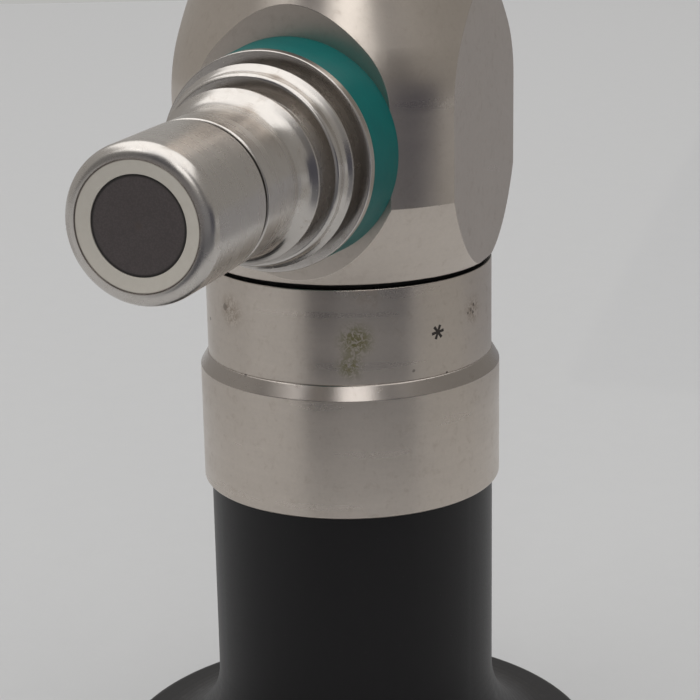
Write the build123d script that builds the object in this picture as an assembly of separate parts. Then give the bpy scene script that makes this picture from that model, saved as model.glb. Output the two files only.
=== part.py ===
from build123d import *
import math
import os

# A straight-looking rod-lens telescope, standing on its eyepiece with the shaft up.
# Millimetres. Z runs up the optical axis, the origin is the centre of the eyepiece rim,
# and the light post points along -Y.

# Fits between pieces, on the radius
FIT = 0.02
GLASS_FIT = 0.04

# Eyepiece body
CUP_RADIUS = 16.0
CUP_EDGE_HEIGHT = 2.4
CUP_EDGE_ROUND = 0.7
CUP_SHOULDER_WIDTH = 0.55
CUP_RIM_WIDTH = 2.4
NECK_RADIUS = 9.05
NECK_TOP = 21.5
FUNNEL_THROAT_RADIUS = 4.6
FUNNEL_DEPTH = 6.2
THROAT_LENGTH = 1.6
SPIGOT_RADIUS = 8.0
SPIGOT_LENGTH = 3.4

# Eyepiece collar
RING_RADIUS = 9.5
RING_HEIGHT = 7.5
RING_EDGE_ROUND = 0.15
BAND_HEIGHT = 0.85
COLLAR_RADIUS = 9.0
COLLAR_HEIGHT = 5.87
COLLAR_EDGE_ROUND = 0.08
JOINT_GAP = 0.28
JOINT_RECESS = 0.45
JOINT_SEAL_WIDTH = 1.2

# Ocular: the tube and lenses that the eyepiece carries
OCULAR_RADIUS = 6.6
OCULAR_BORE = 5.8
OCULAR_UPPER_BORE = 4.6
OCULAR_SHOULDER = 26.0
LENS_SEAT_WIDTH = 0.9
WINDOW_SEAL_THICKNESS = 0.5
WINDOW_THICKNESS = 1.2
WINDOW_RING_LENGTH = 1.6
EYE_LENS_EDGE = 2.2
EYE_LENS_BULGE = 0.6
LENS_SPACER_LENGTH = 5.0
FIELD_LENS_EDGE = 1.6
FIELD_LENS_BULGE = 0.5
RETAINER_LENGTH = 2.0
RETAINER_SLOT_WIDTH = 1.0
RETAINER_SLOT_DEPTH = 0.7

# Housing
HOUSING_BOTTOM_RADIUS = 9.05
HOUSING_TOP_RADIUS = 8.9
HOUSING_RADIUS = 11.0
HOUSING_HEIGHT = 17.1
HOUSING_TAPER_HEIGHT = 4.85
HOUSING_CROWN = 0.3
HOUSING_BLEND = 9.0
HOUSING_EDGE_ROUND = 0.12
HOUSING_SOCKET_DEPTH = 4.2
SEAT_DISTANCE = 9.2
RIGHT_FLAT_DISTANCE = 8.95
LEFT_FLAT_DISTANCE = 8.5
CAVITY_RADIUS = 5.5
CAVITY_HEIGHT = 8.4

# Optic mount, which holds the inner tube
MOUNT_THICKNESS = 1.5
MOUNT_BOSS_RADIUS = 3.0
MOUNT_BOSS_LENGTH = 1.8

# Hub
HUB_SPIGOT_RADIUS = 4.5
HUB_FLANGE_RADIUS = 8.4
HUB_FLANGE_HEIGHT = 2.2
HUB_NECK_RADIUS = 6.2
HUB_NECK_HEIGHT = 2.6
HUB_CONE_HEIGHT = 9.0
HUB_NOSE_RADIUS = 3.1
HUB_NOSE_HEIGHT = 3.0
HUB_EDGE_ROUND = 0.4

# Shaft
SHAFT_LENGTH = 175.0
OUTER_TUBE_RADIUS = 2.0
OUTER_TUBE_WALL = 0.15
OUTER_TUBE_INSERT = 2.6
TUBE_ROOT_RADIUS = 2.3
TUBE_ROOT_LENGTH = 6.0
TUBE_ROOT_TAPER = 1.0
INNER_TUBE_RADIUS = 1.4
INNER_TUBE_WALL = 0.1
DISTAL_WINDOW_THICKNESS = 0.5
OBJECTIVE_GAP = 0.5
OBJECTIVE_LENGTH = 2.4
OBJECTIVE_DISH = 0.18
ROD_COUNT = 6
ROD_SPACER_LENGTH = 4.5
ROD_SPACER_WALL = 0.18
ROD_BULGE = 0.12
FIELD_STOP_THICKNESS = 0.3
FIELD_STOP_RADIUS = 0.85

# Light post: distances are measured along it from the optical axis
POST_HEIGHT = 8.1
POST_SPIGOT_RADIUS = 3.6
POST_SPIGOT_DEPTH = 3.0
COLOUR_RING_BACK_RADIUS = 6.5
COLOUR_RING_FRONT_RADIUS = 6.3
COLOUR_RING_WIDTH = 3.55
COLOUR_RING_ROUND = 0.08
FLANGE_RADIUS = 6.3
FLANGE_THICKNESS = 0.65
FLANGE_CHAMFER = 0.08
REAR_GROOVE_RADIUS = 5.15
REAR_GROOVE_WIDTH = 1.2
COLLAR_DISC_RADIUS = 5.75
COLLAR_DISC_FACE_RADIUS = 5.4
COLLAR_DISC_WIDTH = 1.4
COLLAR_DISC_SWEEP = 0.35
COLLAR_DISC_HOLLOW = 0.6
COLLAR_DISC_ROUND = 0.25
FRONT_GROOVE_RADIUS = 4.36
FRONT_GROOVE_WIDTH = 1.55
FLARE_EDGE_RADIUS = 4.87
FLARE_EDGE_LAND = 0.17
FLARE_SWEEP = 0.63
FLARE_HOLLOW = 1.6
POST_NECK_RADIUS = 4.15
POST_NECK_LENGTH = 4.8
POST_THREAD_RADIUS = 3.3
POST_THREAD_LENGTH = 3.2
TIP_GAP = 0.25
TIP_RADIUS = 4.165
TIP_LENGTH = 6.6
TIP_ROUND = 0.8
TIP_REAR_CHAMFER = 0.1
TIP_SEAL_DEPTH = 0.35
GUIDE_RADIUS = 2.57
GUIDE_TAPER_LENGTH = 2.0
SLEEVE_WALL = 0.75
FIBRE_BEND_RADIUS = 4.5

# Heights up the optical axis
throat_top = FUNNEL_DEPTH + THROAT_LENGTH
ring_top = NECK_TOP + RING_HEIGHT
band_top = ring_top + BAND_HEIGHT
collar_top = band_top + COLLAR_HEIGHT
housing_bottom = collar_top + JOINT_GAP
housing_top = housing_bottom + HOUSING_HEIGHT
socket_top = housing_bottom + HOUSING_SOCKET_DEPTH
cavity_top = socket_top + CAVITY_HEIGHT
hub_flange_top = housing_top + HUB_FLANGE_HEIGHT
hub_neck_top = hub_flange_top + HUB_NECK_HEIGHT
hub_cone_top = hub_neck_top + HUB_CONE_HEIGHT
hub_top = hub_cone_top + HUB_NOSE_HEIGHT
tip_height = hub_top + SHAFT_LENGTH
tube_bottom = cavity_top + OUTER_TUBE_INSERT
tube_root_top = hub_top + TUBE_ROOT_LENGTH
inner_tube_bottom = socket_top - MOUNT_BOSS_LENGTH
post_axis = housing_bottom + POST_HEIGHT

# Distances out along the light post
flange_back = SEAT_DISTANCE + COLOUR_RING_WIDTH
flange_front = flange_back + FLANGE_THICKNESS
disc_back = flange_front + REAR_GROOVE_WIDTH
disc_front = disc_back + COLLAR_DISC_WIDTH
flare_back = disc_front + FRONT_GROOVE_WIDTH
flare_edge = flare_back + FLARE_EDGE_LAND
neck_end = flare_edge + FLARE_SWEEP + POST_NECK_LENGTH
tip_back = neck_end + TIP_GAP
tip_front = tip_back + TIP_LENGTH
spigot_end = SEAT_DISTANCE - POST_SPIGOT_DEPTH

# Radii shared by pieces that fit in each other, or set by the piece round them
funnel_mouth = CUP_RADIUS - CUP_RIM_WIDTH
flare_radius = CUP_RADIUS - CUP_EDGE_ROUND - CUP_SHOULDER_WIDTH - NECK_RADIUS
fibre_outer = OUTER_TUBE_RADIUS - OUTER_TUBE_WALL - FIT
fibre_inner = INNER_TUBE_RADIUS + FIT
inner_bore = INNER_TUBE_RADIUS - INNER_TUBE_WALL
optic_radius = inner_bore - GLASS_FIT
lens_radius = OCULAR_BORE - GLASS_FIT
lens_opening = OCULAR_BORE - LENS_SEAT_WIDTH
sleeve_inner = fibre_outer + FIT
sleeve_outer = sleeve_inner + SLEEVE_WALL
sleeve_bore = sleeve_outer + FIT


def turned(*corners):
    """A solid of revolution about Z from corners (radius, height[, corner round])."""
    points = [(corner[0], 0, corner[1]) for corner in corners]
    rounds = [corner[2] if len(corner) > 2 else 0 for corner in corners]
    outline = FilletPolyline(*points, radius=rounds, close=True)
    return revolve(make_face(outline.edges()), axis=Axis.Z)


def tube(inner, outer, bottom, top):
    return turned((inner, bottom), (outer, bottom), (outer, top), (inner, top))


def rod(radius, bottom, top):
    return Pos(0, 0, bottom) * extrude(Circle(radius), amount=top - bottom)


def lens(radius, opening, bottom, top, lower_bulge, upper_bulge):
    """Glass with a flat seat round each face and a spherical middle inside it."""
    lower = bottom - lower_bulge
    upper = top + upper_bulge
    edge_in = Line((opening, 0, bottom), (radius, 0, bottom))
    edge = Line((radius, 0, bottom), (radius, 0, top))
    edge_out = Line((radius, 0, top), (opening, 0, top))
    upper_face = meridian((opening, top), (0, upper))
    axis_line = Line((0, 0, upper), (0, 0, lower))
    lower_face = meridian((0, lower), (opening, bottom))
    return revolve(make_face([edge_in, edge, edge_out, upper_face, axis_line, lower_face]), axis=Axis.Z)


def meridian(start, end):
    """The arc from a lens's seat to its pole, or back, or a line if the face is flat."""
    rise = abs(start[1] - end[1])
    if rise < 1e-6:
        return Line((start[0], 0, start[1]), (end[0], 0, end[1]))
    seat, pole = (start, end) if end[0] == 0 else (end, start)
    side = math.copysign(1, pole[1] - seat[1])
    radius = (seat[0] ** 2 + rise ** 2) / (2 * rise)
    half_angle = math.asin(min(1, seat[0] / radius)) / 2
    middle = (radius * math.sin(half_angle), 0, pole[1] - side * radius * (1 - math.cos(half_angle)))
    return ThreePointArc((start[0], 0, start[1]), middle, (end[0], 0, end[1]))


def on_post(shape):
    """Turns a piece made along Z onto the light post, which points along -Y."""
    return Pos(0, 0, post_axis) * Rot(90, 0, 0) * shape


def eyepiece_body():
    return turned(
        (funnel_mouth, 0, 0.3),
        (CUP_RADIUS, 0, CUP_EDGE_ROUND),
        (CUP_RADIUS, CUP_EDGE_HEIGHT, CUP_EDGE_ROUND),
        (NECK_RADIUS, CUP_EDGE_HEIGHT, flare_radius),
        (NECK_RADIUS, NECK_TOP),
        (SPIGOT_RADIUS, NECK_TOP),
        (SPIGOT_RADIUS, NECK_TOP + SPIGOT_LENGTH, 0.2),
        (OCULAR_RADIUS + FIT, NECK_TOP + SPIGOT_LENGTH),
        (OCULAR_RADIUS + FIT, throat_top),
        (FUNNEL_THROAT_RADIUS, throat_top),
        (FUNNEL_THROAT_RADIUS, FUNNEL_DEPTH),
    )


def eyepiece_collar():
    return turned(
        (SPIGOT_RADIUS + FIT, NECK_TOP),
        (RING_RADIUS, NECK_TOP, RING_EDGE_ROUND),
        (RING_RADIUS, ring_top, COLLAR_EDGE_ROUND),
        (COLLAR_RADIUS, band_top, COLLAR_EDGE_ROUND),
        (COLLAR_RADIUS, collar_top, COLLAR_EDGE_ROUND),
        (OCULAR_RADIUS + FIT, collar_top),
        (OCULAR_RADIUS + FIT, NECK_TOP + SPIGOT_LENGTH + FIT),
        (SPIGOT_RADIUS + FIT, NECK_TOP + SPIGOT_LENGTH + FIT),
    )


def joint_seal():
    outer = COLLAR_RADIUS - JOINT_RECESS
    return tube(outer - JOINT_SEAL_WIDTH, outer, collar_top, housing_bottom)


def ocular_barrel():
    return turned(
        (OCULAR_BORE, throat_top),
        (OCULAR_RADIUS, throat_top),
        (OCULAR_RADIUS, socket_top),
        (OCULAR_UPPER_BORE, socket_top),
        (OCULAR_UPPER_BORE, OCULAR_SHOULDER),
        (OCULAR_BORE, OCULAR_SHOULDER),
    )


def ocular_stack():
    """The pieces in the ocular barrel, from the eye upwards, each resting on the last."""
    pieces = {}
    seal_top = throat_top + WINDOW_SEAL_THICKNESS
    window_top = seal_top + WINDOW_THICKNESS
    ring_end = window_top + WINDOW_RING_LENGTH
    eye_lens_top = ring_end + EYE_LENS_EDGE
    spacer_top = eye_lens_top + LENS_SPACER_LENGTH
    field_lens_top = spacer_top + FIELD_LENS_EDGE
    retainer_top = field_lens_top + RETAINER_LENGTH
    pieces["window_seal"] = tube(lens_opening, lens_radius, throat_top, seal_top)
    pieces["eyepiece_window"] = rod(lens_radius, seal_top, window_top)
    pieces["window_ring"] = tube(lens_opening, lens_radius, window_top, ring_end)
    clear = lens_opening - GLASS_FIT
    pieces["eye_lens"] = lens(lens_radius, clear, ring_end, eye_lens_top, EYE_LENS_BULGE, EYE_LENS_BULGE)
    pieces["lens_spacer"] = tube(lens_opening, lens_radius, eye_lens_top, spacer_top)
    pieces["field_lens"] = lens(lens_radius, clear, spacer_top, field_lens_top, 0, FIELD_LENS_BULGE)
    pieces["lens_retainer"] = slotted_ring(field_lens_top, retainer_top)
    return pieces


def slotted_ring(bottom, top):
    """A threaded ring with two slots for a pin spanner."""
    ring = tube(lens_opening, OCULAR_BORE, bottom, top)
    slot = Box(2 * OCULAR_BORE + 1, RETAINER_SLOT_WIDTH, RETAINER_SLOT_DEPTH)
    return ring - Pos(0, 0, top - RETAINER_SLOT_DEPTH / 2) * slot


def full_round(before, corner, after):
    """The radius that rounds a corner (radius, height) out to near the end of its shorter side."""
    reach = 0.9 * min(math.dist(before, corner), math.dist(corner, after))
    arriving = math.atan2(corner[1] - before[1], corner[0] - before[0])
    leaving = math.atan2(after[1] - corner[1], after[0] - corner[0])
    return reach / math.tan(abs(leaving - arriving) / 2)


def housing():
    """A barrel crowned below and tapered above, one flat for the post and one on each side."""
    foot = (HOUSING_BOTTOM_RADIUS, housing_bottom)
    shoulder = (HOUSING_RADIUS, housing_bottom + HOUSING_TAPER_HEIGHT)
    crown = ((foot[0] + shoulder[0]) / 2 + HOUSING_CROWN, (foot[1] + shoulder[1]) / 2)
    barrel = turned(
        (0, housing_bottom),
        (*foot, HOUSING_EDGE_ROUND),
        (*crown, full_round(foot, crown, shoulder)),
        (*shoulder, HOUSING_EDGE_ROUND),
        (HOUSING_RADIUS, housing_top - HOUSING_TAPER_HEIGHT, HOUSING_BLEND),
        (HOUSING_TOP_RADIUS, housing_top, HOUSING_EDGE_ROUND),
        (0, housing_top),
    )
    barrel -= flat_cut(SEAT_DISTANCE, -90)
    barrel -= flat_cut(RIGHT_FLAT_DISTANCE, 0)
    barrel -= flat_cut(LEFT_FLAT_DISTANCE, 180)
    barrel -= rod(OCULAR_RADIUS + FIT, housing_bottom, socket_top)
    barrel -= rod(CAVITY_RADIUS, socket_top, cavity_top)
    barrel -= rod(HUB_SPIGOT_RADIUS + FIT, cavity_top, housing_top)
    barrel -= on_post(rod(POST_SPIGOT_RADIUS + FIT, 0, SEAT_DISTANCE))
    return barrel


def flat_cut(distance, azimuth):
    """The stock outside a vertical flat at this distance from the axis."""
    depth = HOUSING_RADIUS
    block = Box(depth, 4 * HOUSING_RADIUS, 2 * HOUSING_HEIGHT)
    middle = housing_bottom + HOUSING_HEIGHT / 2
    return Rot(0, 0, azimuth) * Pos(distance + depth / 2, 0, middle) * block


def optic_mount():
    """The disc on top of the ocular barrel whose boss holds the inner tube."""
    return turned(
        (INNER_TUBE_RADIUS + FIT, inner_tube_bottom),
        (MOUNT_BOSS_RADIUS, inner_tube_bottom, 0.2),
        (MOUNT_BOSS_RADIUS, socket_top),
        (CAVITY_RADIUS - FIT, socket_top),
        (CAVITY_RADIUS - FIT, socket_top + MOUNT_THICKNESS),
        (INNER_TUBE_RADIUS + FIT, socket_top + MOUNT_THICKNESS),
    )


def shaft_hub():
    return turned(
        (fibre_outer + FIT, cavity_top),
        (HUB_SPIGOT_RADIUS, cavity_top),
        (HUB_SPIGOT_RADIUS, housing_top),
        (HUB_FLANGE_RADIUS, housing_top, HUB_EDGE_ROUND / 2),
        (HUB_FLANGE_RADIUS, hub_flange_top, HUB_EDGE_ROUND),
        (HUB_NECK_RADIUS, hub_flange_top, HUB_EDGE_ROUND),
        (HUB_NECK_RADIUS, hub_neck_top, HUB_EDGE_ROUND),
        (HUB_NOSE_RADIUS, hub_cone_top, HUB_NOSE_RADIUS),
        (HUB_NOSE_RADIUS, hub_top, HUB_EDGE_ROUND),
        (TUBE_ROOT_RADIUS + FIT, hub_top),
        (TUBE_ROOT_RADIUS + FIT, tube_bottom),
        (fibre_outer + FIT, tube_bottom),
    )


def outer_tube():
    """The tube of the shaft, with a thicker root that the hub holds."""
    bore = OUTER_TUBE_RADIUS - OUTER_TUBE_WALL
    return turned(
        (bore, tube_bottom),
        (TUBE_ROOT_RADIUS, tube_bottom),
        (TUBE_ROOT_RADIUS, tube_root_top),
        (OUTER_TUBE_RADIUS, tube_root_top + TUBE_ROOT_TAPER),
        (OUTER_TUBE_RADIUS, tip_height),
        (bore, tip_height),
    )


def fibre_bundle():
    """Fibres that lie round the inner tube in the shaft and bend out into the light post."""
    bend_start = (0, 0, post_axis + FIBRE_BEND_RADIUS)
    bend_end = (0, -FIBRE_BEND_RADIUS, post_axis)
    turn = FIBRE_BEND_RADIUS * (1 - math.sqrt(0.5))
    down = Line((0, 0, tip_height), bend_start)
    bend = ThreePointArc(bend_start, (0, -turn, post_axis + turn), bend_end)
    out = Line(bend_end, (0, -tip_back, post_axis))
    section = Plane(origin=(0, 0, tip_height), z_dir=(0, 0, -1)) * Circle(fibre_outer)
    bundle = sweep(section, path=Wire([down, bend, out]))
    return bundle - rod(fibre_inner, inner_tube_bottom, tip_height)


def optical_train():
    """The window, objective, rod lenses and spacers in the inner tube, from the tip down."""
    pieces = {}
    clear = optic_radius - ROD_SPACER_WALL
    window_bottom = tip_height - DISTAL_WINDOW_THICKNESS
    pieces["distal_window"] = rod(optic_radius, window_bottom, tip_height)
    objective_top = window_bottom - OBJECTIVE_GAP
    pieces["objective_ring"] = tube(clear, optic_radius, objective_top, window_bottom)
    train_top = objective_top - OBJECTIVE_LENGTH
    inside = clear - GLASS_FIT
    pieces["objective_lens"] = lens(optic_radius, inside, train_top, objective_top, ROD_BULGE, -OBJECTIVE_DISH)
    stop_top = inner_tube_bottom + FIELD_STOP_THICKNESS
    rod_length = (train_top - stop_top - (ROD_COUNT + 1) * ROD_SPACER_LENGTH) / ROD_COUNT
    top = train_top
    for number in range(1, ROD_COUNT + 2):
        bottom = top - ROD_SPACER_LENGTH
        pieces[f"rod_spacer_{number}"] = tube(clear, optic_radius, bottom, top)
        top = bottom
        if number <= ROD_COUNT:
            bottom = top - rod_length
            pieces[f"rod_lens_{number}"] = lens(optic_radius, inside, bottom, top, ROD_BULGE, ROD_BULGE)
            top = bottom
    pieces["field_stop"] = tube(FIELD_STOP_RADIUS, optic_radius, inner_tube_bottom, stop_top)
    return pieces


def post_base():
    """The turned post: a spigot in the housing, a flange, a collar disc, a flare and a thread."""
    return on_post(turned(
        (sleeve_bore, spigot_end),
        (POST_SPIGOT_RADIUS, spigot_end),
        (POST_SPIGOT_RADIUS, flange_back),
        (FLANGE_RADIUS, flange_back),
        (FLANGE_RADIUS, flange_front, FLANGE_CHAMFER),
        (REAR_GROOVE_RADIUS, flange_front),
        (REAR_GROOVE_RADIUS, disc_back),
        (COLLAR_DISC_RADIUS, disc_back),
        (COLLAR_DISC_RADIUS, disc_back + FLARE_EDGE_LAND),
        (COLLAR_DISC_FACE_RADIUS, disc_back + FLARE_EDGE_LAND + COLLAR_DISC_SWEEP, COLLAR_DISC_HOLLOW),
        (COLLAR_DISC_FACE_RADIUS, disc_front, COLLAR_DISC_ROUND),
        (FRONT_GROOVE_RADIUS, disc_front),
        (FRONT_GROOVE_RADIUS, flare_back),
        (FLARE_EDGE_RADIUS, flare_back),
        (FLARE_EDGE_RADIUS, flare_edge),
        (POST_NECK_RADIUS, flare_edge + FLARE_SWEEP, FLARE_HOLLOW),
        (POST_NECK_RADIUS, neck_end),
        (POST_THREAD_RADIUS, neck_end),
        (POST_THREAD_RADIUS, tip_back + POST_THREAD_LENGTH, 0.1),
        (sleeve_bore, tip_back + POST_THREAD_LENGTH),
    ))


def colour_ring():
    return on_post(turned(
        (POST_SPIGOT_RADIUS + FIT, SEAT_DISTANCE),
        (COLOUR_RING_BACK_RADIUS, SEAT_DISTANCE),
        (COLOUR_RING_FRONT_RADIUS, flange_back, COLOUR_RING_ROUND),
        (POST_SPIGOT_RADIUS + FIT, flange_back),
    ))


def tip_adapter():
    """The screwed-on tip with the rounded mouth that the light cable pushes over."""
    return on_post(turned(
        (POST_THREAD_RADIUS + FIT, tip_back),
        (TIP_RADIUS, tip_back, TIP_REAR_CHAMFER),
        (TIP_RADIUS, tip_front, TIP_ROUND),
        (GUIDE_RADIUS + FIT, tip_front),
        (GUIDE_RADIUS + FIT, tip_back + POST_THREAD_LENGTH + FIT),
        (POST_THREAD_RADIUS + FIT, tip_back + POST_THREAD_LENGTH + FIT),
    ))


def tip_seal():
    outer = POST_NECK_RADIUS - TIP_SEAL_DEPTH
    return on_post(tube(POST_THREAD_RADIUS + FIT, outer, neck_end, tip_back))


def fibre_sleeve():
    """The steel sleeve round the fibres inside the post."""
    return on_post(tube(sleeve_inner, sleeve_outer, spigot_end, tip_back))


def light_guide():
    """The fused-fibre cone whose flat end is the dark disc in the tip."""
    return on_post(turned(
        (0, tip_back),
        (fibre_outer, tip_back),
        (GUIDE_RADIUS, tip_back + GUIDE_TAPER_LENGTH),
        (GUIDE_RADIUS, tip_front),
        (0, tip_front),
    ))


def telescope():
    pieces = {
        "eyepiece_body": eyepiece_body(),
        "eyepiece_collar": eyepiece_collar(),
        "joint_seal": joint_seal(),
        "ocular_barrel": ocular_barrel(),
        "housing": housing(),
        "optic_mount": optic_mount(),
        "shaft_hub": shaft_hub(),
        "outer_tube": outer_tube(),
        "inner_tube": tube(inner_bore, INNER_TUBE_RADIUS, inner_tube_bottom, tip_height),
        "fibre_bundle": fibre_bundle(),
        "post_base": post_base(),
        "colour_ring": colour_ring(),
        "tip_adapter": tip_adapter(),
        "tip_seal": tip_seal(),
        "fibre_sleeve": fibre_sleeve(),
        "light_guide": light_guide(),
    }
    pieces.update(ocular_stack())
    pieces.update(optical_train())
    return pieces


os.makedirs("parts", exist_ok=True)
for name, piece in telescope().items():
    export_step(piece, f"parts/{name}.step")
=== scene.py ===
import math

import bpy
from mathutils import Matrix, Vector


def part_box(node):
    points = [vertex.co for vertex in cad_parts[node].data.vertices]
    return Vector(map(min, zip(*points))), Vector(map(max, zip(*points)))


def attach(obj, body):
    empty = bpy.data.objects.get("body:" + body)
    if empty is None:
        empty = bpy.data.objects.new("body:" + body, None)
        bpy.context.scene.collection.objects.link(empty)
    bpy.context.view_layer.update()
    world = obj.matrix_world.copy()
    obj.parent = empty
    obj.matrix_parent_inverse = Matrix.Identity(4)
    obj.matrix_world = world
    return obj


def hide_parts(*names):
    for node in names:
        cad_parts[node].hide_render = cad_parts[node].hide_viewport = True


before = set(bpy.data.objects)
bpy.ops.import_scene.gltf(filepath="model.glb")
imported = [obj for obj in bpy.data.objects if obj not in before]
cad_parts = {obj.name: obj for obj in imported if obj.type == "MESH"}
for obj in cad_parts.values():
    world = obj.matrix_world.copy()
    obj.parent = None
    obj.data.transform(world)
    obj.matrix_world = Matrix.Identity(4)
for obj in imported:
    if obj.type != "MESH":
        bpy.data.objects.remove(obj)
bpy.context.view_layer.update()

# The telescope as photographed: shaft up, light post towards the viewer's left.
# Lengths are millimetres and angles are degrees, unless a name says otherwise; Blender gets metres.
# An azimuth is 0 at the light post's side and +90 at +X.
MM = 0.001


def upright_size(node):
    """Radius, bottom and top of a node that is turned about the optical axis."""
    low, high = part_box(node)
    return tuple(round(value / MM, 3) for value in (high.x, low.z, high.z))


def post_size(node):
    """Radius of a node on the light post, and its two ends as distances from the optical axis."""
    low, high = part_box(node)
    return tuple(round(value / MM, 3) for value in (high.x, -high.y, -low.y))


# Sizes from the frame
CUP_RADIUS, CUP_RIM, SPIGOT_TOP = upright_size("eyepiece_body")
RING_RADIUS, RING_BOTTOM, COLLAR_TOP = upright_size("eyepiece_collar")
HUB_FLANGE_RADIUS, HUB_BOTTOM, HUB_TOP = upright_size("shaft_hub")
HOUSING_TOP = upright_size("housing")[2]
GREEN_BACK_RADIUS, GREEN_BACK, GREEN_FRONT = post_size("colour_ring")
FLANGE_RADIUS, POST_ROOT, THREAD_END = post_size("post_base")
TIP_RADIUS, TIP_BACK, TIP_FRONT = post_size("tip_adapter")
GUIDE_RADIUS = post_size("light_guide")[0]
tip_low, tip_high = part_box("tip_adapter")
POST_AXIS_HEIGHT = round((tip_low.z + tip_high.z) / 2 / MM, 3)

# Camera, from the fit to the photograph
CAMERA_AIM = Vector((0, 0, 36.0)) * MM
CAMERA_DISTANCE = 128.7
CAMERA_AZIMUTH = 20.0
CAMERA_ELEVATION = 13.53
CAMERA_PITCH = 2.81
CAMERA_ROLL = 1.07
CAMERA_FOCAL_PIXELS = 2044.0
IMAGE_PIXELS = 700.0
SENSOR_WIDTH = 36.0
CAMERA_NEAR = 10.0
CAMERA_FAR = 10000.0


def around_axis(radius, azimuth, height):
    """A point round the optical axis."""
    turn = math.radians(azimuth)
    return Vector((radius * math.sin(turn), -radius * math.cos(turn), height))


def direction(azimuth, elevation):
    rise = math.radians(elevation)
    return around_axis(math.cos(rise), azimuth, math.sin(rise))


def make_camera():
    data = bpy.data.cameras.new("photo_camera")
    data.sensor_width = SENSOR_WIDTH
    data.lens = CAMERA_FOCAL_PIXELS / IMAGE_PIXELS * SENSOR_WIDTH
    data.clip_start = CAMERA_NEAR * MM
    data.clip_end = CAMERA_FAR * MM
    camera = bpy.data.objects.new("photo_camera", data)
    bpy.context.scene.collection.objects.link(camera)
    outward = direction(CAMERA_AZIMUTH, CAMERA_ELEVATION)
    right = direction(CAMERA_AZIMUTH + 90, 0)
    aimed = Matrix((right, outward.cross(right), outward))
    pitch = Matrix.Rotation(math.radians(CAMERA_PITCH), 3, "X")
    roll = Matrix.Rotation(math.radians(CAMERA_ROLL), 3, "Z")
    camera.matrix_world = (roll @ pitch @ aimed).transposed().to_4x4()
    camera.location = CAMERA_AIM + outward * CAMERA_DISTANCE * MM
    bpy.context.scene.camera = camera


# Shapes

LATHE_SEGMENTS = 288
ARC_STEP = 6.0
SHARP_ANGLE = 30.0
FLAT_MARGIN = 0.03


def rounded(corners):
    """Points along a closed outline of corners (radius, height[, corner round])."""
    points = []
    for index, corner in enumerate(corners):
        here = Vector(corner[:2])
        if len(corner) < 3:
            points.append(here)
            continue
        before = (Vector(corners[index - 1][:2]) - here).normalized()
        after = (Vector(corners[(index + 1) % len(corners)][:2]) - here).normalized()
        half = before.angle(after) / 2
        reach = corner[2] / math.tan(half)
        centre = here + (before + after).normalized() * corner[2] / math.sin(half)
        start = here + before * reach - centre
        sweep = start.angle_signed(here + after * reach - centre)
        steps = max(3, math.ceil(abs(sweep) / math.radians(ARC_STEP)))
        for part in range(steps + 1):
            points.append(centre + Matrix.Rotation(-sweep * part / steps, 2) @ start)
    return points


def guarded(points):
    """The outline with a point close to each end of every straight run, which keeps flats flat."""
    result = []
    for index, point in enumerate(points):
        following = points[(index + 1) % len(points)]
        run = following - point
        result.append(point)
        if run.length > 4 * FLAT_MARGIN:
            margin = run.normalized() * FLAT_MARGIN
            result += [point + margin, following - margin]
    return result


def place_up(radius, height, angle):
    return (radius * math.cos(angle) * MM, radius * math.sin(angle) * MM, height * MM)


def place_on_post(radius, distance, angle):
    upward = POST_AXIS_HEIGHT + radius * math.sin(angle)
    return (radius * math.cos(angle) * MM, -distance * MM, upward * MM)


def mesh_object(name, vertices, faces, material):
    mesh = bpy.data.meshes.new(name)
    mesh.from_pydata(vertices, [], faces)
    mesh.validate()
    mesh.update()
    mesh.shade_smooth()
    mesh.set_sharp_from_angle(angle=math.radians(SHARP_ANGLE))
    mesh.materials.append(material)
    piece = bpy.data.objects.new(name, mesh)
    bpy.context.scene.collection.objects.link(piece)
    return piece


def lathe(name, corners, place, material):
    """A closed outline turned about the optical axis or the post's axis."""
    outline = guarded(rounded(corners))
    rows = len(outline)
    vertices = []
    for turn in range(LATHE_SEGMENTS):
        angle = 2 * math.pi * turn / LATHE_SEGMENTS
        vertices += [place(point.x, point.y, angle) for point in outline]
    faces = []
    for turn in range(LATHE_SEGMENTS):
        here = turn * rows
        there = (turn + 1) % LATHE_SEGMENTS * rows
        for row in range(rows):
            up = (row + 1) % rows
            faces.append((here + row, there + row, there + up, here + up))
    return mesh_object(name, vertices, faces, material)


# Node trees

def shade(colour, factor):
    return tuple(min(1.0, value * factor) for value in colour)


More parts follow.
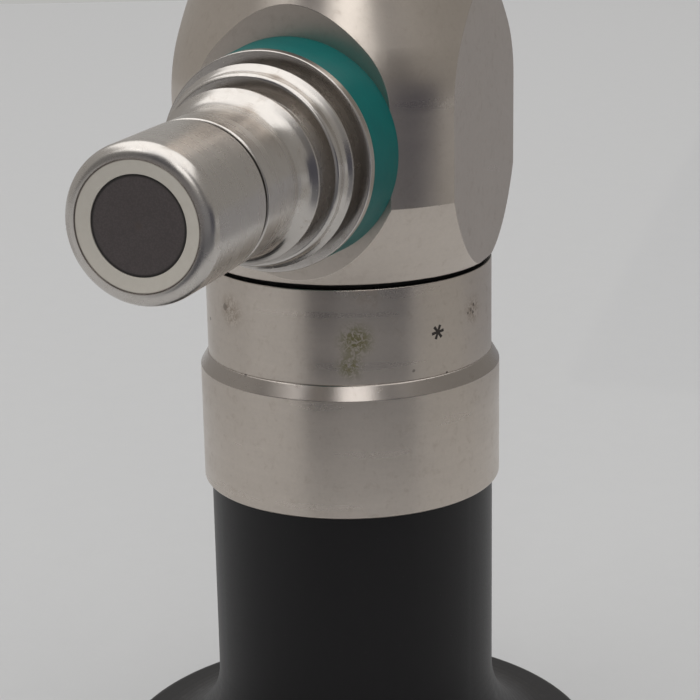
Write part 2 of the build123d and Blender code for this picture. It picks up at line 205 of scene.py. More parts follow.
class Nodes:
    """Short calls that add nodes to a tree; numbers, colours and sockets are all taken as inputs."""

    def __init__(self, tree):
        self.tree = tree

    def connect(self, value, socket):
        if isinstance(value, bpy.types.NodeSocket):
            self.tree.links.new(value, socket)
        elif value is not None:
            socket.default_value = value

    def math(self, operation, first, second=None, clamp=False):
        node = self.tree.nodes.new("ShaderNodeMath")
        node.operation = operation
        node.use_clamp = clamp
        self.connect(first, node.inputs[0])
        self.connect(second, node.inputs[1])
        return node.outputs[0]

    def add(self, first, second):
        return self.math("ADD", first, second)

    def times(self, first, second):
        return self.math("MULTIPLY", first, second)

    def around_zero(self, value, amount):
        """A value of 0 to 1 as one of -amount/2 to +amount/2."""
        return self.times(self.math("SUBTRACT", value, 0.5), amount)

    def vector(self, operation, first, second=None):
        node = self.tree.nodes.new("ShaderNodeVectorMath")
        node.operation = operation
        self.connect(first, node.inputs[0])
        self.connect(second, node.inputs[1])
        gives_number = operation in ("LENGTH", "DOT_PRODUCT", "DISTANCE")
        return node.outputs["Value" if gives_number else "Vector"]

    def split(self, vector):
        node = self.tree.nodes.new("ShaderNodeSeparateXYZ")
        self.connect(vector, node.inputs[0])
        return node.outputs

    def join(self, x, y, z):
        node = self.tree.nodes.new("ShaderNodeCombineXYZ")
        for value, socket in zip((x, y, z), node.inputs):
            self.connect(value, socket)
        return node.outputs[0]

    def ramp(self, value, low, high, to_low=0.0, to_high=1.0):
        node = self.tree.nodes.new("ShaderNodeMapRange")
        node.interpolation_type = "SMOOTHSTEP"
        for number, socket in zip((value, low, high, to_low, to_high), node.inputs[:5]):
            self.connect(number, socket)
        return node.outputs[0]

    def window(self, value, low, high, soft):
        """1 between low and high, with soft borders."""
        rising = self.ramp(value, low - soft, low + soft)
        falling = self.ramp(value, high + soft, high - soft)
        return self.times(rising, falling)

    def mix(self, factor, first, second):
        node = self.tree.nodes.new("ShaderNodeMix")
        node.data_type = "RGBA"
        self.connect(factor, node.inputs[0])
        for value, socket in ((first, node.inputs[6]), (second, node.inputs[7])):
            self.connect((*value, 1.0) if isinstance(value, tuple) else value, socket)
        return node.outputs[2]


class Surface(Nodes):
    """A new material, with the patterns that the finishes share. self.place is in millimetres."""

    def __init__(self, name):
        self.material = bpy.data.materials.new(name)
        self.material.use_nodes = True
        super().__init__(self.material.node_tree)
        self.shader = self.tree.nodes["Principled BSDF"]
        coordinates = self.tree.nodes.new("ShaderNodeTexCoord")
        to_millimetres = (1 / MM, 1 / MM, 1 / MM)
        self.place = self.vector("MULTIPLY", coordinates.outputs["Object"], to_millimetres)

    def noise(self, vector, scale, detail=2.0, roughness=0.5, distortion=0.0):
        node = self.tree.nodes.new("ShaderNodeTexNoise")
        self.connect(vector, node.inputs["Vector"])
        node.inputs["Scale"].default_value = scale
        node.inputs["Detail"].default_value = detail
        node.inputs["Roughness"].default_value = roughness
        node.inputs["Distortion"].default_value = distortion
        return node.outputs[0]

    def cells(self, vector, scale):
        node = self.tree.nodes.new("ShaderNodeTexVoronoi")
        self.connect(vector, node.inputs["Vector"])
        node.inputs["Scale"].default_value = scale
        return node.outputs["Distance"]

    def bump(self, height, depth, normal=None):
        """Height 0 to 1 raises the surface by this depth in millimetres."""
        node = self.tree.nodes.new("ShaderNodeBump")
        node.inputs["Distance"].default_value = depth * MM
        self.connect(height, node.inputs["Height"])
        self.connect(normal, node.inputs["Normal"])
        return node.outputs[0]

    def soft_edge(self, radius):
        node = self.tree.nodes.new("ShaderNodeBevel")
        node.samples = 4
        node.inputs["Radius"].default_value = radius * MM
        return node.outputs[0]

    def edge_mask(self, softened):
        """1 on edges, where the softened normal turns away from the surface's own."""
        geometry = self.tree.nodes.new("ShaderNodeNewGeometry")
        facing = self.vector("DOT_PRODUCT", softened, geometry.outputs["Normal"])
        return self.ramp(facing, 0.999, 0.96)

    def turned_place(self, axis):
        """Height along the turning axis, distance from it, and the two coordinates across it."""
        x, y, z = self.split(self.place)
        if axis == "post":
            across, upward, height = x, self.math("SUBTRACT", z, POST_AXIS_HEIGHT), self.times(y, -1)
        else:
            across, upward, height = x, y, z
        radius = self.vector("LENGTH", self.join(across, upward, 0.0))
        return height, radius, across, upward

    def turning_place(self, across, upward, along, stretch):
        """Coordinates that change slowly round the axis, so that noise on them makes turning lines."""
        return self.join(self.times(across, stretch), self.times(upward, stretch), along)

    def finish(self, **values):
        """Sets the shader's sockets by name, and returns the material."""
        for name, value in values.items():
            socket = self.shader.inputs[name.replace("_", " ").title().replace("Ior", "IOR")]
            if name == "base_color" and isinstance(value, tuple):
                value = (*value, 1.0)
            self.connect(value, socket)
        return self.material


# Steel

STEEL_COLOUR = (0.60, 0.54, 0.483)
POST_COLOUR = (0.60, 0.568, 0.535)
# painted shade: the darker colour given to the polished cone band
BAND_SHADE_COLOUR = (0.30, 0.28, 0.275)
BROWN_FILM = (0.36, 0.29, 0.23)
OLIVE_STAIN = (0.23, 0.212, 0.10)
DARK_PIT = (0.10, 0.085, 0.075)


def add_stains(s, base, stained, stains):
    """Speckled stains, given as (centre, reach, strength, colour)."""
    for centre, reach, strength, colour in stains:
        near = s.ramp(s.vector("DISTANCE", s.place, centre), reach * 1.3, reach * 0.2)
        speckle = s.noise(s.place, scale=3.2, detail=5, roughness=0.72, distortion=1.1)
        amount = s.times(s.times(near, s.ramp(speckle, 0.42, 0.55)), strength)
        base = s.mix(amount, base, colour)
        stained = s.math("MAXIMUM", stained, amount)
    return base, stained


def add_spots(s, base, stained, spots):
    """Dark specks with ragged borders, given as (centre, reach, strength)."""
    ragged = s.around_zero(s.noise(s.place, scale=6, detail=3, roughness=0.7), 1.6)
    for centre, reach, strength in spots:
        distance = s.math("DIVIDE", s.vector("DISTANCE", s.place, centre), reach)
        mark = s.times(s.ramp(s.add(distance, ragged), 1.15, 0.75), strength)
        base = s.mix(mark, base, DARK_PIT)
        stained = s.math("MAXIMUM", stained, mark)
    return base, stained


def steel_look(name, axis="up", colour=STEEL_COLOUR, roughness=0.30, lines=1.0, grain=1.0, film=0.25,
               edge=0.05, line_scale=3.2, relief_depth=0.0018, stains=(), spots=(), polished=None):
    """Turned stainless steel: fine lines, grain, thin films of dirt and worn bright edges.

    polished gives the two heights between which the metal is smoother, and by how much; there its colour is
    also darkened, as painted shade that dims the band's reflections.
    """
    s = Surface(name)
    height, radius, across, upward = s.turned_place(axis)
    turning = s.turning_place(across, upward, s.add(height, radius), stretch=0.10)
    fine_lines = s.noise(turning, scale=line_scale, detail=1.5, roughness=0.6)
    coarse_lines = s.noise(turning, scale=line_scale * 0.3)
    fine_grain = s.noise(s.place, scale=4.5, roughness=0.6)
    cloud = s.noise(s.place, scale=0.42, detail=4, roughness=0.6)
    patches = s.noise(s.place, scale=1.6, detail=5, roughness=0.68, distortion=0.4)

    tone = s.add(s.around_zero(fine_lines, 0.34 * lines), s.around_zero(fine_grain, 0.42 * grain))
    tone = s.add(tone, s.around_zero(cloud, 0.30))
    base = s.mix(s.math("ADD", tone, 0.5, clamp=True), shade(colour, 0.88), shade(colour, 1.12))
    stained = s.times(s.ramp(patches, 0.52, 0.74), film)
    base = s.mix(stained, base, BROWN_FILM)
    base, stained = add_stains(s, base, stained, stains)
    base, stained = add_spots(s, base, stained, spots)

    softened = s.soft_edge(edge)
    worn = s.edge_mask(softened)
    base = s.mix(s.times(worn, 0.35), base, shade(colour, 1.25))
    rough = s.add(roughness, s.around_zero(coarse_lines, 0.16 * lines))
    rough = s.add(rough, s.times(stained, 0.22))
    rough = s.math("SUBTRACT", rough, s.times(worn, 0.08), clamp=True)
    if polished:
        low, high, smoother = polished
        band = s.window(height, low, high, soft=0.03)
        rough = s.math("SUBTRACT", rough, s.times(band, smoother), clamp=True)
        # painted shade: the polished band's colour is darkened to dim its reflections
        base = s.mix(s.times(band, 0.45), base, BAND_SHADE_COLOUR)
    relief = s.add(s.times(fine_lines, 0.65 * lines), s.times(fine_grain, 0.5 * grain))
    normal = s.bump(relief, relief_depth, softened)
    return s, {"base_color": base, "metallic": 1.0, "roughness": rough, "normal": normal}


def steel(name, axis="up", **options):
    s, look = steel_look(name, axis, **options)
    return s.finish(**look)


# Collar sizes and marks; a mark is (azimuth, height, reach, strength[, colour])
RING_TOP = RING_BOTTOM + 7.5
BAND_TOP = RING_TOP + 0.85
COLLAR_RADIUS = 9.0
BAND_SMOOTHER = 0.06
# Painted shade in the joint's gap: the collar's top face, down to this depth, is painted black and not
# metallic
GAP_SHADE_DEPTH = 0.03
GAP_SHADE_BLACK = (0.004, 0.004, 0.004)
COLLAR_SPOTS = (
    (44.9, 30.46, 0.10, 0.55),
    (60.4, 29.90, 0.08, 1.0),
    (-25.1, 29.79, 0.10, 0.7),
    (-53.5, 32.38, 0.10, 0.8),
    (-37.0, 33.75, 0.22, 0.45),
    (75.2, 33.35, 0.14, 0.55),
    (77.3, 33.60, 0.10, 0.8),
    (76.8, 33.15, 0.12, 0.7),
    (73.2, 33.20, 0.08, 0.7),
)
COLLAR_STAINS = (
    (22.2, 32.60, 1.15, 1.0, OLIVE_STAIN),
    (19.8, 31.05, 0.85, 0.85, OLIVE_STAIN),
    (-33.0, 33.60, 1.15, 0.75, BROWN_FILM),
    (76.7, 33.30, 0.95, 0.7, BROWN_FILM),
    (26.3, 35.50, 1.00, 0.35, BROWN_FILM),
)


def on_collar(marks):
    return [(around_axis(COLLAR_RADIUS, azimuth, height), *rest) for azimuth, height, *rest in marks]


def collar_steel():
    """The collar's steel, with its marks, its polished cone band darkened as painted shade, and painted
    shade on its top face: black, non-metallic, where the joint's gap is.
    """
    s, look = steel_look("satin_steel", stains=on_collar(COLLAR_STAINS), spots=on_collar(COLLAR_SPOTS),
                         polished=(RING_TOP, BAND_TOP, BAND_SMOOTHER))
    height = s.turned_place("up")[0]
    # painted shade: the top face is painted black where the joint's gap is
    gap_shade = s.ramp(height, COLLAR_TOP - GAP_SHADE_DEPTH, COLLAR_TOP - GAP_SHADE_DEPTH / 3)
    look["base_color"] = s.mix(gap_shade, look["base_color"], GAP_SHADE_BLACK)
    look["metallic"] = s.ramp(gap_shade, 0.0, 1.0, to_low=1.0, to_high=0.0)
    return s.finish(**look)


# Face of the light post's tip
FACE_RING_RADIUS = 3.36
FACE_DISH = 0.20
FACE_DEPTH = 0.35
FACE_BORDER = 0.13


def tip_steel():
    """Steel like the post's, with the beige etched ring round the fibres on its face, and painted shade:
    the thin groove round that ring is painted dark brown.
    """
    s, look = steel_look("tip_steel", "post", colour=POST_COLOUR, roughness=0.27, lines=0.6, film=0.15)
    height, radius, across, upward = s.turned_place("post")
    in_front = s.ramp(height, TIP_FRONT - FACE_DEPTH, TIP_FRONT - FACE_DEPTH + FACE_BORDER)
    face = s.times(in_front, s.ramp(radius, FACE_RING_RADIUS, FACE_RING_RADIUS - 0.04))
    beside = s.math("ABSOLUTE", s.math("SUBTRACT", radius, FACE_RING_RADIUS))
    # painted shade: the groove round the beige ring is painted dark brown
    groove_shade = s.times(s.ramp(height, TIP_FRONT - 0.2, TIP_FRONT - 0.1), s.ramp(beside, 0.09, 0.02))
    mottle = s.noise(s.place, scale=2.5, detail=4, roughness=0.65)
    beige = s.mix(mottle, (0.63, 0.59, 0.52), (0.71, 0.67, 0.60))
    base = s.mix(face, look["base_color"], beige)
    look["base_color"] = s.mix(s.times(groove_shade, 0.55), base, (0.20, 0.15, 0.12))
    look["metallic"] = s.ramp(face, 0.0, 1.0, to_low=1.0, to_high=0.15)
    look["roughness"] = s.add(look["roughness"], s.times(face, 0.22))
    return s.finish(**look)


# Plastics, rubber, glass and blackened parts

def black_plastic():
    """Moulded black polymer with a fine matte texture, dust and faint rub marks."""
    s = Surface("black_plastic")
    x, y, z = s.split(s.place)
    cloud = s.noise(s.place, scale=0.5, detail=4, roughness=0.6)
    texture = s.noise(s.place, scale=7, detail=4, roughness=0.7)
    dust = s.ramp(s.cells(s.place, scale=1.9), 0.055, 0.02)
    rubbed = s.ramp(s.noise(s.join(x, y, 0.0), scale=1.1, detail=3), 0.5, 0.75)
    base = s.mix(cloud, (0.0024, 0.0019, 0.0028), (0.0040, 0.0032, 0.0045))
    base = s.mix(s.times(dust, 0.10), base, (0.35, 0.34, 0.32))
    rough = s.add(0.34, s.times(texture, 0.14))
    rough = s.math("SUBTRACT", rough, s.times(rubbed, 0.05))
    normal = s.bump(texture, 0.004, s.soft_edge(0.1))
    return s.finish(base_color=base, roughness=rough, normal=normal, specular_ior_level=0.34)


def green_plastic():
    """Dyed plastic ring, slightly glossy, with fine lines from turning."""
    s = Surface("green_plastic")
    height, radius, across, upward = s.turned_place("post")
    turning = s.turning_place(across, upward, height, stretch=0.15)
    lines = s.noise(turning, scale=8, roughness=0.6)
    cloud = s.noise(s.place, scale=0.8, detail=3)
    base = s.mix(cloud, (0.0, 0.112, 0.110), (0.0, 0.145, 0.135))
    base = s.mix(s.times(s.ramp(lines, 0.5, 0.8), 0.15), base, (0.01, 0.20, 0.18))
    rough = s.add(0.32, s.times(lines, 0.12))
    normal = s.bump(lines, 0.003, s.soft_edge(0.05))
    return s.finish(base_color=base, roughness=rough, normal=normal, specular_ior_level=0.12)


def fused_fibres():
    """The polished end of the fibre cone: thousands of fibre ends, and painted shade at its border, where
    the bore's wall shades the recessed end.
    """
    s = Surface("fused_fibres")
    height, radius, across, upward = s.turned_place("post")
    ends = s.cells(s.join(across, upward, 0.0), scale=11)
    cloud = s.noise(s.place, scale=0.9, detail=4, roughness=0.6)
    centre = s.ramp(radius, 0.35, 0.0)
    # painted shade: a dark ring at the border, for the bore wall's shadow on the recessed end
    border_shade = s.ramp(radius, GUIDE_RADIUS - 0.17, GUIDE_RADIUS - 0.06)
    base = s.mix(cloud, (0.078, 0.064, 0.064), (0.102, 0.086, 0.086))
    base = s.mix(s.times(s.ramp(ends, 0.25, 0.7), 0.35), base, (0.045, 0.040, 0.038))
    base = s.mix(s.times(centre, 0.4), base, (0.085, 0.060, 0.050))
    base = s.mix(border_shade, base, (0.022, 0.019, 0.018))
    rough = s.add(0.38, s.times(cloud, 0.15))
    return s.finish(base_color=base, roughness=rough, normal=s.bump(ends, 0.002), specular_ior_level=0.4)


def seal_rubber():
    s = Surface("seal_rubber")
    texture = s.noise(s.place, scale=5, detail=4, roughness=0.7)
    base = s.mix(texture, (0.008, 0.008, 0.008), (0.0144, 0.0144, 0.0144))
    rough = s.add(0.55, s.times(texture, 0.2))
    return s.finish(base_color=base, roughness=rough, normal=s.bump(texture, 0.01), specular_ior_level=0.3)


def blackened_metal():
    """Chemically blackened brass inside the optics."""
    s = Surface("blackened_metal")
    height, radius, across, upward = s.turned_place("up")
    lines = s.noise(s.turning_place(across, upward, height, stretch=0.1), scale=6)
    base = s.mix(lines, (0.018, 0.018, 0.019), (0.035, 0.033, 0.032))
    rough = s.add(0.42, s.times(lines, 0.2))
    return s.finish(base_color=base, metallic=0.6, roughness=rough, normal=s.bump(lines, 0.005))


def optical_glass():
    """Coated glass, with the faintest film of smears."""
    s = Surface("optical_glass")
    smear = s.noise(s.place, scale=0.8, detail=4, roughness=0.6)
    rough = s.ramp(smear, 0.45, 0.8, to_low=0.02, to_high=0.08)
    return s.finish(base_color=(0.93, 0.96, 0.98), roughness=rough, ior=1.52, transmission_weight=1.0,
                    coat_weight=0.3, coat_tint=(0.6, 0.7, 1.0, 1.0))


def fibre_glass():
    """Ends of the light fibres round the shaft's window."""
    s = Surface("fibre_glass")
    ends = s.cells(s.place, scale=22)
    base = s.mix(s.ramp(ends, 0.3, 0.6), (0.42, 0.40, 0.34), (0.10, 0.09, 0.08))
    rough = s.add(0.22, s.times(ends, 0.2))
    return s.finish(base_color=base, roughness=rough, normal=s.bump(ends, 0.004))


def engraving():
    s = Surface("engraving")
    mottle = s.noise(s.place, scale=8, detail=3)
    base = s.mix(mottle, (0.020, 0.016, 0.014), (0.060, 0.050, 0.045))
    return s.finish(base_color=base, metallic=0.3, roughness=0.6, normal=s.bump(mottle, 0.01))


def floor_surface(colour):
    s = Surface("floor")
    mottle = s.noise(s.place, scale=0.35, detail=4, roughness=0.6)
    base = s.mix(mottle, shade(colour, 0.985), shade(colour, 1.015))
    texture = s.noise(s.place, scale=1.5, detail=4)
    return s.finish(base_color=base, roughness=0.6, normal=s.bump(texture, 0.02))


def dress_nodes():
    """Materials for the CAD nodes that stay; the rest are lens mounts, spacers and the like."""
    housing_steel = steel("housing_steel", roughness=0.29, lines=0.5, film=0.22, edge=0.07)
    glass = optical_glass()
    blackened = blackened_metal()
    materials = {
        "housing": housing_steel,
        "outer_tube": TUBE_STEEL,
        "inner_tube": TUBE_STEEL,
        "fibre_sleeve": TUBE_STEEL,
        "joint_seal": RUBBER,
        "tip_seal": RUBBER,
        "window_seal": RUBBER,
        "fibre_bundle": fibre_glass(),
    }
    lenses = ("eyepiece_window", "eye_lens", "field_lens", "distal_window", "objective_lens")
    for name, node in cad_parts.items():
        material = materials.get(name, blackened)
        if name in lenses or name.startswith("rod_lens"):
            material = glass
        node.data.materials.clear()
        node.data.materials.append(material)


# Outlines of the turned pieces: (radius, height) or, on the post, (radius, distance from the
# optical axis), with a third number where the corner is rounded

CUP_EDGE_HEIGHT = 2.4
CUP_RIM_WIDTH = 2.4
CUP_EDGE_ROUND = 0.7
CUP_FLARE_ROUND = 5.7
NECK_RADIUS = 9.05
SPIGOT_RADIUS = 8.0
BARREL_BORE = 6.62
BARREL_SEAT = 7.8
THROAT_RADIUS = 4.6
FUNNEL_DEPTH = 6.2
EYEPIECE = (
    (CUP_RADIUS - CUP_RIM_WIDTH, CUP_RIM, 0.3),
    (CUP_RADIUS, CUP_RIM, CUP_EDGE_ROUND),
    (CUP_RADIUS, CUP_EDGE_HEIGHT, CUP_EDGE_ROUND),
    (NECK_RADIUS, CUP_EDGE_HEIGHT, CUP_FLARE_ROUND),
    (NECK_RADIUS, RING_BOTTOM),
    (SPIGOT_RADIUS, RING_BOTTOM),
    (SPIGOT_RADIUS, SPIGOT_TOP, 0.2),
    (BARREL_BORE, SPIGOT_TOP),
    (BARREL_BORE, BARREL_SEAT),
    (THROAT_RADIUS, BARREL_SEAT),
    (THROAT_RADIUS, FUNNEL_DEPTH),
)

FIT = 0.02
COLLAR_EDGE_ROUND = 0.08
BAND_LINE = ((0.03, -0.05), (-0.04, -0.01), (0.0, 0.05))
COLLAR = (
    (SPIGOT_RADIUS + FIT, RING_BOTTOM),
    (RING_RADIUS, RING_BOTTOM, 0.15),
    (RING_RADIUS, RING_TOP, COLLAR_EDGE_ROUND),
    *((COLLAR_RADIUS + outward, BAND_TOP + upward) for outward, upward in BAND_LINE),
    (COLLAR_RADIUS, COLLAR_TOP, COLLAR_EDGE_ROUND),
    (BARREL_BORE, COLLAR_TOP),
    (BARREL_BORE, SPIGOT_TOP + FIT),
    (SPIGOT_RADIUS + FIT, SPIGOT_TOP + FIT),
)

HUB_BORE = 1.85
HUB_SPIGOT_RADIUS = 4.5
HUB_FLANGE_TOP = HOUSING_TOP + 2.2
HUB_NECK_RADIUS = 6.2
HUB_NECK_TOP = HUB_FLANGE_TOP + 2.6
HUB_NOSE_RADIUS = 3.1
HUB_NOSE_BOTTOM = HUB_TOP - 3.0
HUB_NOSE_ROUND = 3.1
HUB_EDGE_ROUND = 0.4
TUBE_BORE = 2.32
TUBE_SEAT = HUB_BOTTOM + 2.6
HUB = (
    (HUB_BORE, HUB_BOTTOM),
    (HUB_SPIGOT_RADIUS, HUB_BOTTOM),
    (HUB_SPIGOT_RADIUS, HOUSING_TOP),
    (HUB_FLANGE_RADIUS, HOUSING_TOP, 0.2),
    (HUB_FLANGE_RADIUS, HUB_FLANGE_TOP, HUB_EDGE_ROUND),
    (HUB_NECK_RADIUS, HUB_FLANGE_TOP, HUB_EDGE_ROUND),
    (HUB_NECK_RADIUS, HUB_NECK_TOP, HUB_EDGE_ROUND),
    (HUB_NOSE_RADIUS, HUB_NOSE_BOTTOM, HUB_NOSE_ROUND),
    (HUB_NOSE_RADIUS, HUB_TOP, HUB_EDGE_ROUND),
    (TUBE_BORE, HUB_TOP),
    (TUBE_BORE, TUBE_SEAT),
    (HUB_BORE, TUBE_SEAT),
)

POST_SPIGOT_RADIUS = 3.6
COLOUR_RING = (
    (POST_SPIGOT_RADIUS + FIT, GREEN_BACK),
    (GREEN_BACK_RADIUS, GREEN_BACK),
    (FLANGE_RADIUS, GREEN_FRONT, 0.08),
    (POST_SPIGOT_RADIUS + FIT, GREEN_FRONT),
)

FLANGE_FRONT = GREEN_FRONT + 0.65
REAR_GROOVE_RADIUS = 5.15
DISC_BACK = FLANGE_FRONT + 1.2
DISC_RADIUS = 5.75
DISC_LAND = 0.17
DISC_SWEEP = 0.35
DISC_FACE_RADIUS = 5.4
DISC_FRONT = DISC_BACK + 1.4
FRONT_GROOVE_RADIUS = 4.36
FLARE_BACK = DISC_FRONT + 1.55
FLARE_RADIUS = 4.87
FLARE_LAND = 0.17
FLARE_SWEEP = 0.63
POST_NECK_RADIUS = 4.15
POST_NECK_FRONT = 23.02
THREAD_RADIUS = 3.3
POST_BORE = 2.62
POST = (
    (POST_BORE, POST_ROOT),
    (POST_SPIGOT_RADIUS, POST_ROOT),
    (POST_SPIGOT_RADIUS, GREEN_FRONT),
    (FLANGE_RADIUS, GREEN_FRONT),
    (FLANGE_RADIUS, FLANGE_FRONT, 0.08),
    (REAR_GROOVE_RADIUS, FLANGE_FRONT),
    (REAR_GROOVE_RADIUS, DISC_BACK),
    (DISC_RADIUS, DISC_BACK),
    (DISC_RADIUS, DISC_BACK + DISC_LAND),
    (DISC_FACE_RADIUS, DISC_BACK + DISC_LAND + DISC_SWEEP, 0.6),
    (DISC_FACE_RADIUS, DISC_FRONT, 0.25),
    (FRONT_GROOVE_RADIUS, DISC_FRONT),
    (FRONT_GROOVE_RADIUS, FLARE_BACK),
    (FLARE_RADIUS, FLARE_BACK),
    (FLARE_RADIUS, FLARE_BACK + FLARE_LAND),
    (POST_NECK_RADIUS, FLARE_BACK + FLARE_LAND + FLARE_SWEEP, 1.6),
    (POST_NECK_RADIUS, POST_NECK_FRONT, 0.12),
    (THREAD_RADIUS, POST_NECK_FRONT),
    (THREAD_RADIUS, THREAD_END, 0.1),
    (POST_BORE, THREAD_END),
)

TIP_BORE = THREAD_RADIUS + FIT
TIP = (
    (TIP_BORE, TIP_BACK),
    (TIP_RADIUS, TIP_BACK, 0.1),
    (TIP_RADIUS, TIP_FRONT, 0.8),
    (FACE_RING_RADIUS + 0.02, TIP_FRONT),
    (FACE_RING_RADIUS, TIP_FRONT - 0.06),
    (FACE_RING_RADIUS - 0.03, TIP_FRONT - 0.02),
    (GUIDE_RADIUS + FIT, TIP_FRONT - FACE_DISH),
    (GUIDE_RADIUS + FIT, THREAD_END + FIT),
    (TIP_BORE, THREAD_END + FIT),
)

TIP_SEAL_RADIUS = 3.95
TIP_SEAL = (
    (TIP_BORE, POST_NECK_FRONT),
    (TIP_SEAL_RADIUS, POST_NECK_FRONT),
    (TIP_SEAL_RADIUS, TIP_BACK),
    (TIP_BORE, TIP_BACK),
)

GUIDE_BACK_RADIUS = 1.83
GUIDE_CONE_LENGTH = 2.0
GUIDE_RECESS = 0.24
AXIS_RADIUS = 0.001
GUIDE = (
    (AXIS_RADIUS, TIP_BACK),
    (GUIDE_BACK_RADIUS, TIP_BACK),
    (GUIDE_RADIUS, TIP_BACK + GUIDE_CONE_LENGTH),
    (GUIDE_RADIUS, TIP_FRONT - GUIDE_RECESS, 0.02),
    (AXIS_RADIUS, TIP_FRONT - GUIDE_RECESS),
)


def turned_piece(name, node, outline, place, material):
    """A lathed piece that stands for a CAD node."""
    piece = lathe(name, outline, place, material)
    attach(piece, "root")
    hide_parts(node)


# The small six-armed star punched in the collar
STAR_AZIMUTH = 56.0
STAR_HEIGHT = 32.58
STAR_ARMS = 6
STAR_TURN = 8.0
STAR_ARM_LENGTH = 0.45
STAR_ARM_HALF_WIDTH = 0.095
STAR_NOTCH_RADIUS = 0.16
STAR_PROUD = 0.004
STAR_DEPTH = 0.05


def star_outline():
    """Corners of a star with square-ended arms, as sideways and upward lengths."""
    corners = []
    for arm in range(STAR_ARMS):
        turn = math.radians(STAR_TURN + 360 / STAR_ARMS * arm)
        notch = turn - math.pi / STAR_ARMS
        along = Vector((math.cos(turn), math.sin(turn))) * STAR_ARM_LENGTH
        across = Vector((math.sin(turn), -math.cos(turn))) * STAR_ARM_HALF_WIDTH
        corners.append(Vector((math.cos(notch), math.sin(notch))) * STAR_NOTCH_RADIUS)
        corners += [along + across, along - across]
    return corners


def star_point(radius, sideways, upward):
    azimuth = STAR_AZIMUTH + math.degrees(sideways / COLLAR_RADIUS)
    return around_axis(radius, azimuth, STAR_HEIGHT + upward) * MM


def star_mark():
    """A dark inlay that bends with the collar and stands a hair proud of it."""
    corners = star_outline()
    vertices = []
    for radius in (COLLAR_RADIUS + STAR_PROUD, COLLAR_RADIUS - STAR_DEPTH):
        vertices += [star_point(radius, *corner) for corner in corners]
        vertices.append(star_point(radius, 0, 0))
    count = len(corners)
    inner = count + 1
    faces = []
    for here in range(count):
        following = (here + 1) % count
        faces.append((inner + here, inner + following, following, here))
        faces.append((here, following, count))
        faces.append((inner + following, inner + here, inner + count))
    star = mesh_object("star_mark", vertices, faces, engraving())
    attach(star, "root")


# Stage: floor, what the metal reflects, lamps and world. The world's and the cards' colours
# are linear radiance, and so is a lamp's brightness.

FLOOR_COLOUR = (0.565, 0.569, 0.575)
BACKDROP_COLOUR = (0.475, 0.472, 0.46)
WORLD_COLOUR = (0.38, 0.37, 0.355)
FLOOR_HALF_WIDTH = 1600
FLOOR_FRONT = -1800
FLOOR_BACK = 450

# Darker parts of the room: azimuth range from the camera's side, elevation range, radiance
ROOM_ZONES = (
    ((-80, -44), (-10, 34), (0.18, 0.175, 0.17)),
    ((-44, -12), (-10, 66), (0.06, 0.06, 0.07)),
    ((20, 46), (-10, 66), (0.14, 0.135, 0.135)),
    ((46, 170), (-10, 50), (0.31, 0.30, 0.285)),
)
ZONE_BORDER = 4.0

# Sheets round the object that are seen only in reflections: the camera, the hand and the dark
# things that stood close in front, and the edges of the table. A profile is (radius, height) points.
LOW_CARD = ((81.0, 1.5), (140.0, 1.5), (142.0, 12.0))
HIGH_CARD = ((142.0, 12.0), (150.0, 74.0))
FLOOR_CARD = ((85.0, 1.5), (240.0, 1.6))
EDGE_CARD = ((90.0, 1.5), (260.0, 1.6), (262.0, 30.0))
CARD_STEPS = 24

# Name, azimuth range from the camera's side, radiance, profile
CARDS = (
    ("reflected_shadow", -34, -10, (0.045, 0.047, 0.060), LOW_CARD),
    ("reflected_hand", -44, -10, (0.21, 0.20, 0.20), HIGH_CARD),
    ("reflected_stand", -10, 49, (0.138, 0.14, 0.152), LOW_CARD),
    ("reflected_camera", -10, 28, (0.22, 0.22, 0.23), HIGH_CARD),
    ("reflected_lens", 28, 58, (0.070, 0.070, 0.090), HIGH_CARD),
    ("reflected_sleeve", 54, 100, (0.36, 0.35, 0.335), FLOOR_CARD),
    ("reflected_table", -145, -84, (0.44, 0.435, 0.43), FLOOR_CARD),
    ("reflected_edge", 100, 165, (0.31, 0.305, 0.31), EDGE_CARD),
)

# Name, azimuth from the camera's side, elevation, distance, width, height, radiance, roll
LAMPS = (
    ("panel_front", 4, 39, 600, 230, 240, 1.5, -12),
    ("panel_left", -59, 44, 600, 280, 150, 1.0, 0),
    ("panel_top", 180, 83, 1100, 1900, 2100, 1.15, 0),
)


def make_floor():
    turn_to_camera = Matrix.Rotation(math.radians(CAMERA_AZIMUTH), 4, "Z")
    corners = [(-FLOOR_HALF_WIDTH, FLOOR_FRONT, 0), (FLOOR_HALF_WIDTH, FLOOR_FRONT, 0),
               (FLOOR_HALF_WIDTH, FLOOR_BACK, 0), (-FLOOR_HALF_WIDTH, FLOOR_BACK, 0)]
    vertices = [turn_to_camera @ (Vector(corner) * MM) for corner in corners]
    floor = mesh_object("floor", vertices, [(0, 1, 2, 3)], floor_surface(FLOOR_COLOUR))


def reflected_card(name, start, end, radiance, profile):
    material = bpy.data.materials.new(name)
    material.use_nodes = True
    shader = material.node_tree.nodes["Principled BSDF"]
    shader.inputs["Base Color"].default_value = (0, 0, 0, 1)
    shader.inputs["Specular IOR Level"].default_value = 0
    shader.inputs["Emission Color"].default_value = (*radiance, 1)
    shader.inputs["Emission Strength"].default_value = 1
    vertices = []
    for step in range(CARD_STEPS + 1):
        azimuth = CAMERA_AZIMUTH + start + (end - start) * step / CARD_STEPS
        vertices += [around_axis(radius, azimuth, height) * MM for radius, height in profile]
    rows = len(profile)
    faces = []
    for step in range(CARD_STEPS):
        for row in range(rows - 1):
            first = step * rows + row
            faces.append((first, first + rows, first + rows + 1, first + 1))
    card = mesh_object(name, vertices, faces, material)
    card.visible_camera = False
    card.visible_shadow = False
    card.visible_diffuse = False


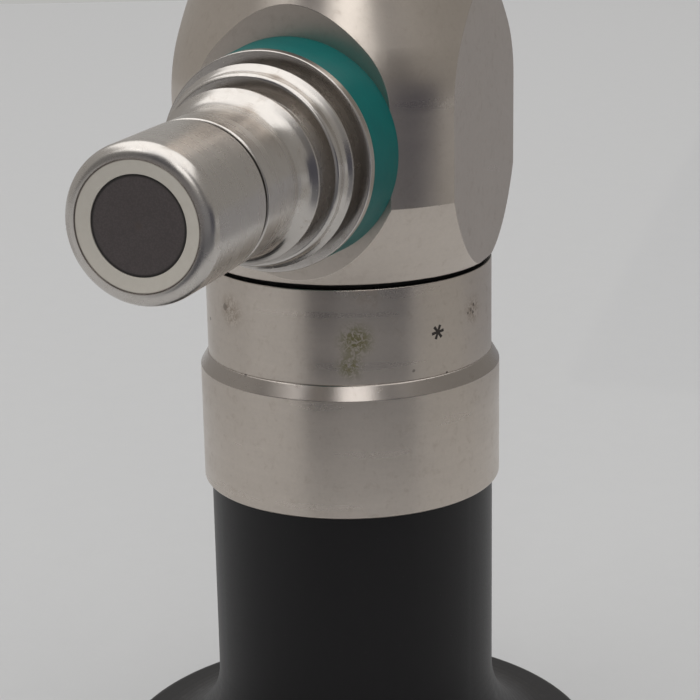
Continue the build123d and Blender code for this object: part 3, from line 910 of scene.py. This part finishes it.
def make_lamp(name, azimuth, elevation, distance, width, height, radiance, roll):
    """A rectangular lamp that faces the camera's aim."""
    data = bpy.data.lights.new(name, "AREA")
    data.shape = "RECTANGLE"
    data.size = width * MM
    data.size_y = height * MM
    data.energy = radiance * math.pi * data.size * data.size_y
    lamp = bpy.data.objects.new(name, data)
    bpy.context.scene.collection.objects.link(lamp)
    outward = direction(CAMERA_AZIMUTH + azimuth, elevation)
    lamp.location = CAMERA_AIM + outward * distance * MM
    aimed = outward.to_track_quat("Z", "Y").to_matrix() @ Matrix.Rotation(math.radians(roll), 3, "Z")
    lamp.rotation_euler = aimed.to_euler()


def make_world():
    """The room: an even pale grey with darker zones, and the backdrop's colour for the camera."""
    world = bpy.data.worlds.new("studio")
    bpy.context.scene.world = world
    world.use_nodes = True
    s = Nodes(world.node_tree)
    ray = s.tree.nodes.new("ShaderNodeTexCoord").outputs["Generated"]
    rightward = s.vector("DOT_PRODUCT", ray, direction(CAMERA_AZIMUTH + 90, 0))
    forward = s.vector("DOT_PRODUCT", ray, direction(CAMERA_AZIMUTH, 0))
    azimuth = s.times(s.math("ARCTAN2", rightward, forward), math.degrees(1))
    elevation = s.times(s.math("ARCSINE", s.split(ray)[2]), math.degrees(1))
    colour = WORLD_COLOUR
    for sides, heights, radiance in ROOM_ZONES:
        inside = s.times(s.window(azimuth, *sides, ZONE_BORDER), s.window(elevation, *heights, ZONE_BORDER))
        colour = s.mix(inside, colour, radiance)
    rays = s.tree.nodes.new("ShaderNodeLightPath")
    colour = s.mix(rays.outputs["Is Camera Ray"], colour, BACKDROP_COLOUR)
    s.connect(colour, s.tree.nodes["Background"].inputs["Color"])


make_camera()
bpy.context.scene.view_settings.view_transform = "Standard"

RUBBER = seal_rubber()
TUBE_STEEL = steel("tube_steel", roughness=0.26, lines=0.4, film=0.1)
POST_STEEL = steel("post_steel", "post", colour=POST_COLOUR, roughness=0.24, lines=2.0, grain=0.4,
                   line_scale=6.5, relief_depth=0.0012)
dress_nodes()
turned_piece("eyepiece_shell", "eyepiece_body", EYEPIECE, place_up, black_plastic())
turned_piece("collar_shell", "eyepiece_collar", COLLAR, place_up, collar_steel())
turned_piece("hub_shell", "shaft_hub", HUB, place_up, TUBE_STEEL)
turned_piece("ring_shell", "colour_ring", COLOUR_RING, place_on_post, green_plastic())
turned_piece("post_shell", "post_base", POST, place_on_post, POST_STEEL)
turned_piece("tip_shell", "tip_adapter", TIP, place_on_post, tip_steel())
turned_piece("tip_seal_ring", "tip_seal", TIP_SEAL, place_on_post, RUBBER)
turned_piece("fibre_disc", "light_guide", GUIDE, place_on_post, fused_fibres())
star_mark()

make_floor()
for card in CARDS:
    reflected_card(*card)
for lamp in LAMPS:
    make_lamp(*lamp)
make_world()
